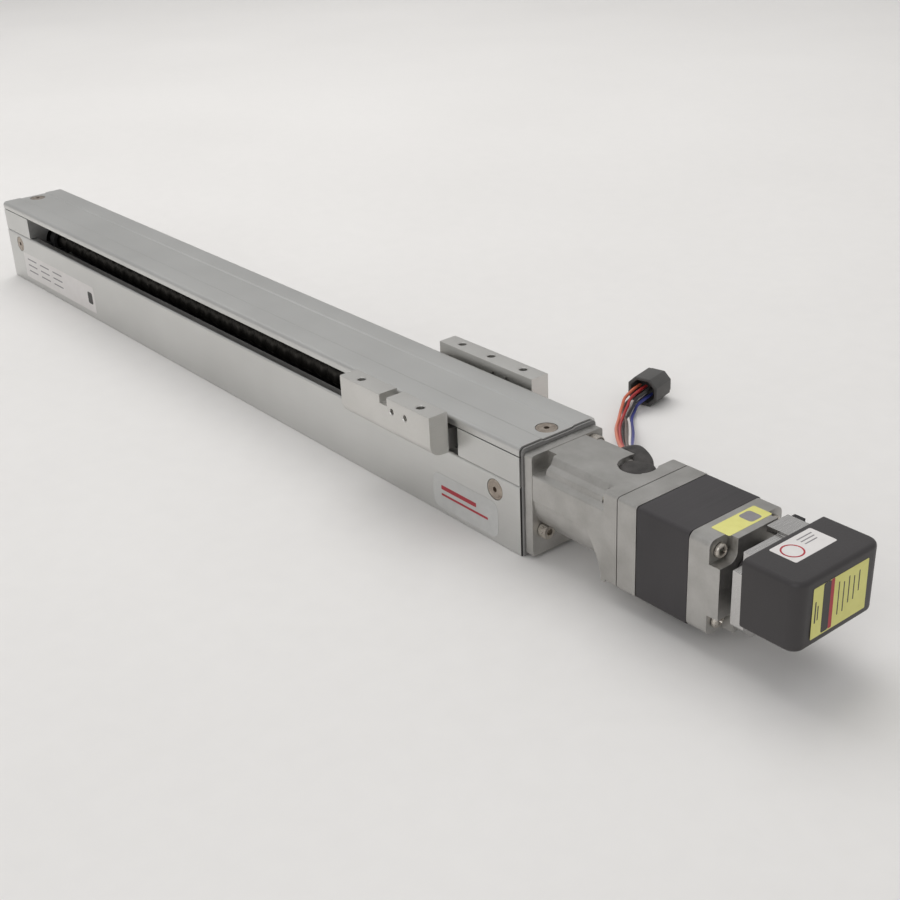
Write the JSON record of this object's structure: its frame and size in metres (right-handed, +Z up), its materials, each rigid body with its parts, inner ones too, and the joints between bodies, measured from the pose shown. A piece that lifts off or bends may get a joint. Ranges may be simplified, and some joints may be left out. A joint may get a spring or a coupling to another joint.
{
  "type": "electric ball-screw slide with stepper motor",
  "caption": "Long covered aluminium slide with a two-sided table block, driven through a screw by a square stepper motor with a rear encoder.",
  "frame": {"origin": "on the floor under the middle of the slide and its motor, without the motor lead", "axes": "+X along the slide towards the motor, +Y across it towards the lead, +Z up"},
  "size_m": [0.6898, 0.1859, 0.0567],
  "materials": {
    "anodised_aluminium": "fine drawn grain, clear anodised, satin",
    "machined_aluminium": "milled and clear anodised, matt",
    "cast_aluminium": "die cast, fine speckle",
    "bearing_steel": "ground",
    "plated_screw": "plated, lightly worn",
    "black_rubber": "moulded, matt",
    "black_lacquer": "satin black over laminations",
    "black_plastic": "moulded, fine texture",
    "copper_wire": "enamelled copper winding",
    "circuit_board": "green solder mask",
    "red_elastomer": "moulded polyurethane",
    "wire_jacket": "soft insulation"
  },
  "bodies": {
    "slide_frame": {"base_extrusion": "anodised_aluminium", "bearing_retainer": "bearing_steel", "coupling_housing": "cast_aluminium", "cover_screw_far_end": "plated_screw", "cover_screw_motor_end": "plated_screw", "encoder_board": "circuit_board", "encoder_bracket": "bearing_steel", "encoder_cable_grommet": "black_rubber", "encoder_cover": "black_plastic", "encoder_spacer": "black_plastic", "end_gasket": "black_rubber", "far_end_block": "anodised_aluminium", "fixed_bearing_outer": "bearing_steel", "guide_rail": "bearing_steel", "housing_screw_lower": "plated_screw", "housing_screw_upper": "plated_screw", "lead_connector": "black_plastic", "lead_grommet": "black_rubber", "lead_sleeve": "black_rubber", "lead_wires": "wire_jacket", "motor_end_block": "anodised_aluminium", "motor_front_bearing": "bearing_steel", "motor_front_flange": "cast_aluminium", "motor_mount_screw_1": "plated_screw", "motor_mount_screw_2": "plated_screw", "motor_mount_screw_3": "plated_screw", "motor_mount_screw_4": "plated_screw", "motor_rear_bearing": "bearing_steel", "motor_screw_1": "plated_screw", "motor_screw_2": "plated_screw", "motor_screw_3": "plated_screw", "motor_screw_4": "plated_screw", "rear_bracket": "cast_aluminium", "side_screw_far_end_front": "plated_screw", "side_screw_far_end_rear": "plated_screw", "side_screw_motor_end_front": "plated_screw", "side_screw_motor_end_rear": "plated_screw", "stator_stack": "black_lacquer", "stator_winding": "copper_wire", "stop_bumper_far_end": "black_rubber", "stop_bumper_motor_end": "black_rubber", "support_bearing_outer": "bearing_steel", "top_cover": "anodised_aluminium"},
    "carriage": {"carriage_block": "anodised_aluminium", "guide_block": "bearing_steel", "guide_block_seal_far_end": "red_elastomer", "guide_block_seal_motor_end": "red_elastomer", "ball_nut": "bearing_steel", "table_block_front": "machined_aluminium", "table_block_rear": "machined_aluminium"},
    "screw": {"ball_screw": "bearing_steel", "fixed_bearing_inner": "bearing_steel", "support_bearing_inner": "bearing_steel", "lock_nut": "bearing_steel", "screw_coupling_hub": "machined_aluminium", "coupling_spider": "red_elastomer", "motor_coupling_hub": "machined_aluminium", "motor_shaft": "bearing_steel", "rotor": "black_lacquer", "encoder_magnet": "bearing_steel"}
  },
  "joints": [
    {"name": "table_slide", "type": "slide", "parent": "slide_frame", "child": "carriage", "axis": [-1, 0, 0], "range_m": [0, 0.385]},
    {"name": "screw_spin", "type": "hinge", "parent": "slide_frame", "child": "screw", "pos_m": [0.19655, 0, 0.0301], "axis": [1, 0, 0], "range_deg": [0, 11560]}
  ],
  "couplings": [
    {"joint": "screw_spin", "follows": "table_slide", "rad_per_m": 523.6}
  ]
}
